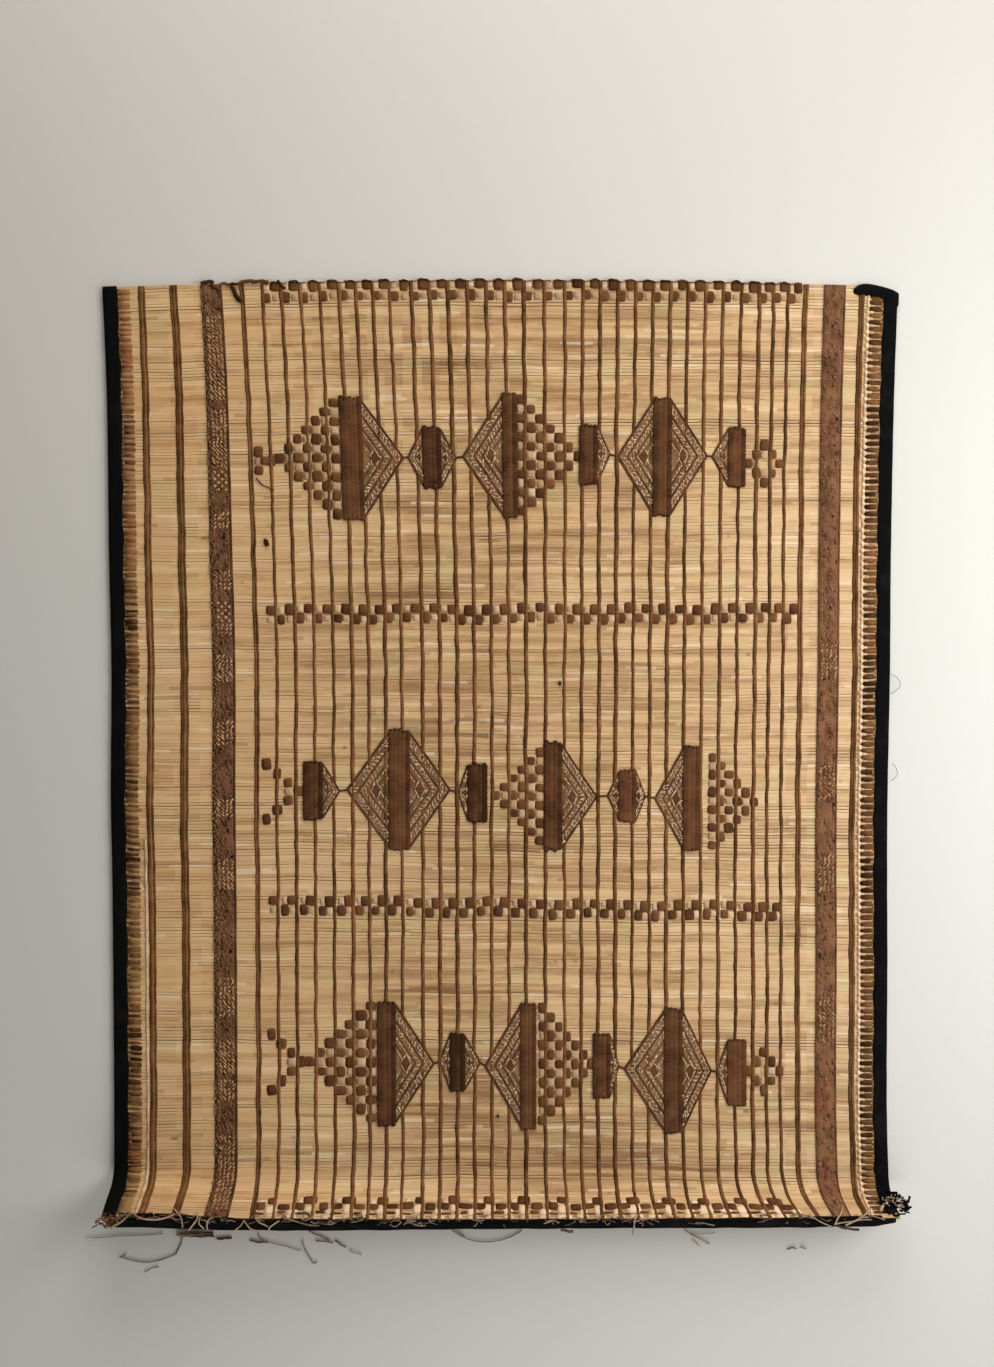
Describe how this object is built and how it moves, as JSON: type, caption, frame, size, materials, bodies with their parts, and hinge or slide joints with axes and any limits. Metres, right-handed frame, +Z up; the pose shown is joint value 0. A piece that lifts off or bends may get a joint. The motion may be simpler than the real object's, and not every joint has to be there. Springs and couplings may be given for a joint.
{
  "type": "tuareg mat",
  "caption": "Flat reed mat laced with leather cords and plaited bands, black cloth bindings at its sides and foot, and a turned-up foot end with loose thongs.",
  "frame": {"origin": "on the ground, under the middle of the whole mat", "axes": "+X along the reeds, +Y up the mat towards its top end, +Z up from the ground through the patterned face"},
  "size_m": [1.391, 1.748, 0.1034],
  "materials": {
    "reed": "dry split reeds, straw coloured, satin",
    "black_cloth": "matt black cotton",
    "brown_leather": "worn dark brown goatskin, matt"
  },
  "bodies": {
    "root": {"reed_mat": "reed", "binding_left": "black_cloth", "binding_right": "black_cloth", "binding_foot": "black_cloth", "band_left": "brown_leather", "band_right": "brown_leather", "thong_fringe": "brown_leather"}
  },
  "joints": []
}
